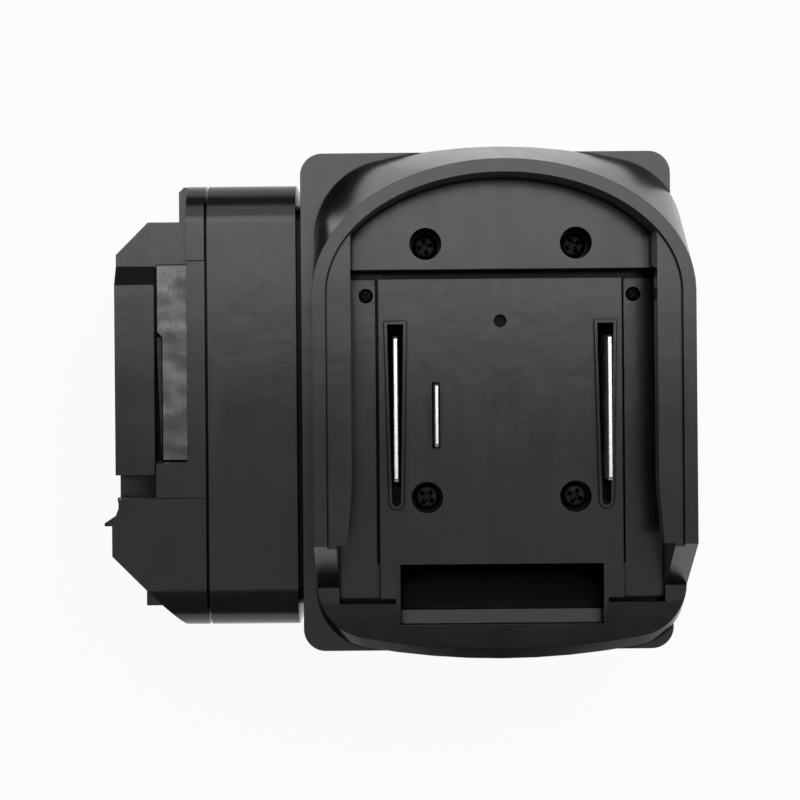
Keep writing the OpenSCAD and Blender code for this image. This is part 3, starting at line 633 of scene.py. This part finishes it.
@dataclass
class LatchWork(SubAssembly):
    """The latch, its springs and the bracket that they push against."""

    wire_mm: float = 0.7
    turns: float = 7.0
    steps_per_turn: int = 28
    sides: int = 12
    travel_joint: str = "latch_slide"

    def build(self) -> None:
        """Dresses the latch and the bracket and winds the springs."""
        self.dress("latch", LATCH_BLACK, Rounding.FINE_MOULDED)
        self.dress("latch_bracket", BRACKET_STEEL, Rounding.STAMPED)
        self.springs()

    def springs(self) -> None:
        """Winds the two springs as round wire in the place of the plain ones."""
        low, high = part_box("latch_springs")
        wire = self.wire_mm * MM
        mean_d = high.y - low.y - wire
        travel = next(j for j in frame["joints"] if j["name"] == self.travel_joint)["range_m"][1]
        length = high.x - low.x
        inset = (mean_d + wire) / 2
        count = int(self.turns * self.steps_per_turn)
        for side, centre_z in (("back", low.z + inset), ("front", high.z - inset)):
            path = []
            for i in range(count + 1):
                angle = math.tau * i / self.steps_per_turn
                along = low.x + wire / 2 + (length - wire) * i / count
                path.append(Vector((along, (low.y + high.y) / 2 + mean_d / 2 * math.cos(angle),
                                    centre_z + mean_d / 2 * math.sin(angle))))
            spring = self.add(f"latch_spring_{side}", swept_tube(path, wire / 2, self.sides), SPRING_STEEL,
                              "housing")
            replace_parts(spring, "latch_springs")
            (length - travel) / length
            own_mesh(spring)


@dataclass(frozen=True)
class Lead:
    """One wire: its name, finish, diameter and route in millimetres."""

    node: str
    finish: Insulation
    wire_mm: float
    route_mm: list[tuple[float, float, float]]


LEADS = (
    Lead("left_lead", RED_LEAD, 2.8, [
        (-22.55, -1, 52.5), (-26, -1, 52.5), (-34, 2, 48), (-44, 8, 38), (-52, 14, 26), (-57, 17, 19),
        (-60, 18, 18), (-64.3, 18, 18)]),
    Lead("right_lead", BLACK_LEAD, 2.8, [
        (21.25, -1, 52.5), (17, -1, 52.5), (8, -3, 46), (-8, -2, 43), (-24, 4, 46), (-40, 12, 48),
        (-52, 17, 47), (-59, 18, 46), (-64.3, 18, 46)]),
    Lead("signal_lead", YELLOW_LEAD, 1.6, [
        (-14.1, -3, 54), (-16.6, -3, 54), (-19, -9, 54), (-24, -12, 52.5), (-34, -9, 46), (-46, 0, 36),
        (-56, 6, 32), (-60, 7, 32), (-64.3, 7, 32)]),
)


@dataclass
class Contacts(SubAssembly):
    """The blades, their carrier, the board behind the tower and the wires between them."""

    lead_sides: int = 20
    lead_steps: int = 10

    def build(self) -> None:
        """Dresses the metal contacts and the board and lays the leads."""
        for node in ("power_blade_left", "power_blade_right", "signal_blade"):
            self.dress(node, NICKEL, Rounding.COINED)
        for node in ("power_contact_left", "power_contact_right", "signal_contacts"):
            self.dress(node, NICKEL, Rounding.STAMPED)
        self.dress("blade_carrier", INSULATOR, Rounding.FINE_MOULDED)
        self.dress("contact_board", LAMINATE, Rounding.CUT)
        for lead in LEADS:
            path = smooth_route(lead.route_mm, self.lead_steps)
            mesh = swept_tube(path, lead.wire_mm * MM / 2, self.lead_sides)
            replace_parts(self.add(f"{lead.node}_wire", mesh, lead.finish, "housing"), lead.node)


@dataclass(frozen=True)
class Screw:
    """A pan-head screw with a cross recess and a coarse thread, in millimetres."""

    node: str
    heading: tuple[float, float, float]
    head_mm: float
    head_t_mm: float
    shank_mm: float
    pitch_mm: float
    segments: int = 32
    rows_per_turn: int = 6
    core: float = 0.74
    recess: float = 0.62
    recess_w: float = 0.17
    recess_d: float = 0.55
    recess_over: float = 1.06
    recess_taper: float = 0.5
    tip_mm: float = 1.4
    tip_end: float = 0.12
    crown_flat: float = 0.62
    crown_side: float = 0.55
    crown_step_deg: int = 15
    seat_rise: float = 0.12
    seat_in: float = 0.95
    flank: float = 3.4

    def outline(self, length_mm: float) -> list[tuple[float, float, float]]:
        """Gives the rows of the screw from the middle of its head to its tip.

        Args:
            length_mm: The length of the shank.

        Returns:
            For each row its radius, its height and how far its thread stands out.
        """
        half = self.head_mm / 2
        crown = [math.radians(a) for a in range(90, -1, -self.crown_step_deg)]
        rows = []
        for a in crown:
            radius = half * (self.crown_flat + (1 - self.crown_flat) * math.cos(a))
            height = self.head_t_mm * (self.crown_side + (1 - self.crown_side) * math.sin(a))
            rows.append((radius, height, 0.0))
        rows.append((half, self.head_t_mm * self.seat_rise, 0.0))
        rows.append((half * self.seat_in, 0.0, 0.0))
        rows.append((self.shank_mm * self.core / 2, 0.0, 0.0))
        count = int(length_mm / self.pitch_mm * self.rows_per_turn)
        for i in range(1, count + 1):
            down = length_mm * i / count
            taper = min(1.0, (length_mm - down) / self.tip_mm + self.tip_end)
            rows.append((self.shank_mm * self.core / 2 * taper, -down,
                         self.shank_mm * (1 - self.core) / 2 * taper * min(1.0, down / self.pitch_mm)))
        return rows

    def blank(self, length_mm: float) -> bpy.types.Mesh:
        """Turns the screw without its recess, with its head up and its seat at zero.

        Args:
            length_mm: The length of the shank.

        Returns:
            A closed mesh.
        """
        shape = bmesh.new()
        rings = []
        for radius, height, thread in self.outline(length_mm):
            ring = []
            for k in range(self.segments):
                angle = math.tau * k / self.segments
                phase = (height / self.pitch_mm + k / self.segments) % 1.0
                reach = (radius + thread * max(0.0, 1.0 - abs(phase - 0.5) * self.flank)) * MM
                ring.append(shape.verts.new((reach * math.cos(angle), reach * math.sin(angle), height * MM)))
            rings.append(ring)
        for ring, following in zip(rings, rings[1:]):
            for k in range(self.segments):
                after = (k + 1) % self.segments
                shape.faces.new((ring[k], following[k], following[after], ring[after]))
        shape.faces.new(rings[0])
        shape.faces.new(reversed(rings[-1]))
        mesh = bpy.data.meshes.new("screw_blank")
        shape.to_mesh(mesh)
        shape.free()
        return mesh

    def driver(self) -> bpy.types.Mesh:
        """Shapes the tapered cross that the recess is cut with."""
        reach = self.head_mm / 2 * self.recess
        narrow = self.head_mm / 2 * self.recess_w
        quarter = [(reach, -narrow), (reach, narrow), (narrow, narrow)]
        cross = []
        for turn in range(4):
            c, s = round(math.cos(turn * math.pi / 2)), round(math.sin(turn * math.pi / 2))
            cross += [(c * x - s * y, s * x + c * y) for x, y in quarter]
        shape = bmesh.new()
        rings = []
        for share, height in ((self.recess_over, self.head_t_mm * self.recess_over),
                              (self.recess_taper, self.head_t_mm * (1 - self.recess_d))):
            rings.append([shape.verts.new((x * share * MM, y * share * MM, height * MM)) for x, y in cross])
        for k in range(len(cross)):
            after = (k + 1) % len(cross)
            shape.faces.new((rings[0][k], rings[1][k], rings[1][after], rings[0][after]))
        shape.faces.new(rings[0])
        shape.faces.new(reversed(rings[1]))
        bmesh.ops.recalc_face_normals(shape, faces=shape.faces)
        mesh = bpy.data.meshes.new("screw_driver")
        shape.to_mesh(mesh)
        shape.free()
        return mesh

    def finished(self, length_mm: float) -> bpy.types.Mesh:
        """Cuts the recess into the head.

        Args:
            length_mm: The length of the shank.

        Returns:
            The finished screw at the origin.
        """
        blank = bpy.data.objects.new("screw_blank", self.blank(length_mm))
        driver = bpy.data.objects.new("screw_driver", self.driver())
        for helper in (blank, driver):
            bpy.context.scene.collection.objects.link(helper)
        cut = blank.modifiers.new("recess", "BOOLEAN")
        cut.object = driver
        cut.solver = "EXACT"
        mesh = bpy.data.meshes.new_from_object(blank.evaluated_get(bpy.context.evaluated_depsgraph_get()))
        for helper in (blank, driver):
            bpy.data.objects.remove(helper)
        return mesh


def solids(node: str) -> list[tuple[Vector, Vector]]:
    """Finds the separate solids of a node.

    Args:
        node: The node's name.

    Returns:
        The lowest and highest corner of each solid.
    """
    shape = bmesh.new()
    shape.from_mesh(frame["nodes"][node].data)
    bmesh.ops.remove_doubles(shape, verts=shape.verts, dist=JOIN_MM * MM)
    left = set(shape.verts)
    boxes = []
    while left:
        found = [left.pop()]
        for vert in found:
            beside = {edge.other_vert(vert) for edge in vert.link_edges} & left
            left -= beside
            found += beside
        corners = [Vector(pick(vert.co[axis] for vert in found) for axis in range(3)) for pick in (min, max)]
        boxes.append(tuple(corners))
    shape.free()
    return sorted(boxes, key=lambda box: tuple(box[0]))


@dataclass
class Fasteners(SubAssembly):
    """The screws of the assembly."""

    kinds: tuple[Screw, ...] = (
        Screw("frame_screws", (0, 0, 1), 5.4, 2.3, 2.8, 1.1),
        Screw("cover_screws", (-1, 0, 0), 5.4, 2.3, 2.8, 1.1),
        Screw("carrier_screws", (0, 0, 1), 2.6, 1.3, 1.6, 0.7),
        Screw("bracket_screws", (1, 0, 0), 3.8, 1.5, 2.0, 0.8),
        Screw("board_screws", (1, 0, 0), 3.8, 1.5, 2.0, 0.8),
    )
    smooth_deg: float = 40.0
    spin_step_rad: float = 0.9

    def build(self) -> None:
        """Turns every screw and sets it where its plain one is."""
        for kind in self.kinds:
            self.driven(kind)

    def driven(self, kind: Screw) -> None:
        """Sets all the screws of one kind.

        Args:
            kind: The kind of screw.
        """
        heading = Vector(kind.heading)
        shape = bmesh.new()
        for count, (low, high) in enumerate(solids(kind.node)):
            length = abs((high - low).dot(heading)) / MM - kind.head_t_mm
            crown = Vector(far if up > 0 else near for far, near, up in zip(high, low, heading))
            middle = (low + high) / 2
            seat = middle + heading * ((crown - middle).dot(heading) - kind.head_t_mm * MM)
            spin = Matrix.Rotation(self.spin_step_rad * (count + 1), 4, "Z")
            lean = Vector((0, 0, 1)).rotation_difference(heading).to_matrix().to_4x4()
            one = kind.finished(length)
            one.transform(Matrix.Translation(seat) @ lean @ spin)
            shape.from_mesh(one)
            bpy.data.meshes.remove(one)
        mesh = bpy.data.meshes.new(kind.node)
        shape.to_mesh(mesh)
        shape.free()
        mesh.shade_smooth()
        mesh.set_sharp_from_angle(angle=math.radians(self.smooth_deg))
        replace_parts(self.add(f"{kind.node}_threaded", mesh, SCREW_STEEL, "housing"), kind.node)


@dataclass(frozen=True)
class Softbox:
    """A soft lamp that looks at the adapter, with its width along X."""

    name: str
    place_m: tuple[float, float, float]
    size_m: tuple[float, float]
    watts: float


@dataclass
class Studio:
    """A white floor, soft lamps and a camera above the adapter."""

    camera_mm: tuple[float, float, float] = (-21.0, 0.0, 488.0)
    roll_deg: float = -0.5
    lens_mm: float = 90.0
    sensor_mm: float = 36.0
    floor_m: float = 6.0
    floor_drop_mm: float = 0.3
    floor_grey: float = 0.86
    floor_bounce: float = 0.18
    floor_glow: float = 0.94
    aim_m: tuple[float, float, float] = (-0.021, 0.0, 0.03)
    lamps: tuple[Softbox, ...] = (
        Softbox("key_softbox", (0.23, 0.31, 1.27), (1.3, 0.54), 6.9),
        Softbox("top_softbox", (0.23, 0.856, 0.98), (1.3, 0.73), 3.6),
        Softbox("fill_softbox", (0.05, -0.18, 1.3), (1.1, 0.28), 0.55),
    )
    ambient: float = 0.1
    clip_start_m: float = 0.01

    def build(self) -> None:
        """Sets up the floor, the lamps, the world and the camera."""
        self.floor()
        for lamp in self.lamps:
            self.hang(lamp)
        self.world()
        self.camera()

    def seen(self, graph: Graph) -> Shade:
        """Tells the rays that show the background itself from those that only bring light.

        Args:
            graph: The nodes to add to.

        Returns:
            How white the background is for each kind of ray, which is 0 for the rays that only bring light.
        """
        camera, glossy, clear = (graph.node("ShaderNodeLightPath", output=f"Is {kind} Ray")
                                 for kind in ("Camera", "Glossy", "Transmission"))
        shown = graph.maths("MAXIMUM", graph.maths("MAXIMUM", camera, clear), glossy)
        return shown * self.floor_glow

    def floor(self) -> None:
        """Lays a pale floor that looks white and still takes the soft shadow."""
        half = self.floor_m / 2
        level = -self.floor_drop_mm * MM
        corners = [(-half, -half, level), (half, -half, level), (half, half, level), (-half, half, level)]
        mesh = bpy.data.meshes.new("floor")
        mesh.from_pydata(corners, [], [(0, 1, 2, 3)])
        floor = bpy.data.objects.new("floor", mesh)
        bpy.context.scene.collection.objects.link(floor)
        graph = Graph(bpy.data.materials.new("floor_white"))
        camera = graph.node("ShaderNodeLightPath", output="Is Camera Ray")
        grey = graph.mixed(camera, (self.floor_bounce,) * 3, (self.floor_grey,) * 3)
        paint = graph.node("ShaderNodeBsdfDiffuse", None, {"Color": grey})
        glow = graph.node("ShaderNodeEmission", None, {"Color": (1.0, 1.0, 1.0), "Strength": 1.0})
        surface = graph.node("ShaderNodeMixShader", None, {0: self.seen(graph), 1: paint, 2: glow})
        graph.node("ShaderNodeOutputMaterial", None, {"Surface": surface})
        mesh.materials.append(graph.owner)

    def hang(self, softbox: Softbox) -> None:
        """Hangs one soft lamp.

        Args:
            softbox: The lamp.
        """
        data = bpy.data.lights.new(softbox.name, "AREA")
        data.shape = "RECTANGLE"
        data.size, data.size_y = softbox.size_m
        data.energy = softbox.watts
        lamp = bpy.data.objects.new(softbox.name, data)
        lamp.location = softbox.place_m
        back = (lamp.location - Vector(self.aim_m)).normalized()
        across = (Vector((1, 0, 0)) - back * back.x).normalized()
        lamp.rotation_euler = Matrix((across, back.cross(across), back)).transposed().to_euler()
        bpy.context.scene.collection.objects.link(lamp)

    def world(self) -> None:
        """Fills the room with faint light and makes it white to the camera."""
        graph = Graph(bpy.data.worlds.new("studio"))
        colour = (1.0, 1.0, 1.0)
        faint, white = (graph.node("ShaderNodeBackground", None, {"Color": colour, "Strength": strength})
                        for strength in (self.ambient, self.floor_glow))
        camera = graph.node("ShaderNodeLightPath", output="Is Camera Ray")
        room = graph.node("ShaderNodeMixShader", None, {0: camera, 1: faint, 2: white})
        graph.node("ShaderNodeOutputWorld", None, {"Surface": room})
        bpy.context.scene.world = graph.owner

    def camera(self) -> None:
        """Hangs the camera over the adapter, looking straight down."""
        data = bpy.data.cameras.new("camera")
        data.lens = self.lens_mm
        data.sensor_width = self.sensor_mm
        data.clip_start = self.clip_start_m
        camera = bpy.data.objects.new("camera", data)
        camera.location = Vector(self.camera_mm) * MM
        camera.rotation_euler.z = math.radians(self.roll_deg)
        bpy.context.scene.collection.objects.link(camera)
        bpy.context.scene.camera = camera


def main() -> None:
    """Builds the studio and every sub-assembly and reports the pieces."""
    logging.basicConfig(level=logging.INFO, format="%(message)s")
    bpy.context.scene.view_settings.view_transform = "Standard"
    Studio().build()
    wardrobe = Wardrobe()
    for kind in (Housing, LatchWork, Contacts, Fasteners):
        group = kind(wardrobe)
        group.build()
        for piece in group.pieces:
            LOG.info("%s: %s", kind.__name__, piece.name)


if __name__ == "__main__":
    main()
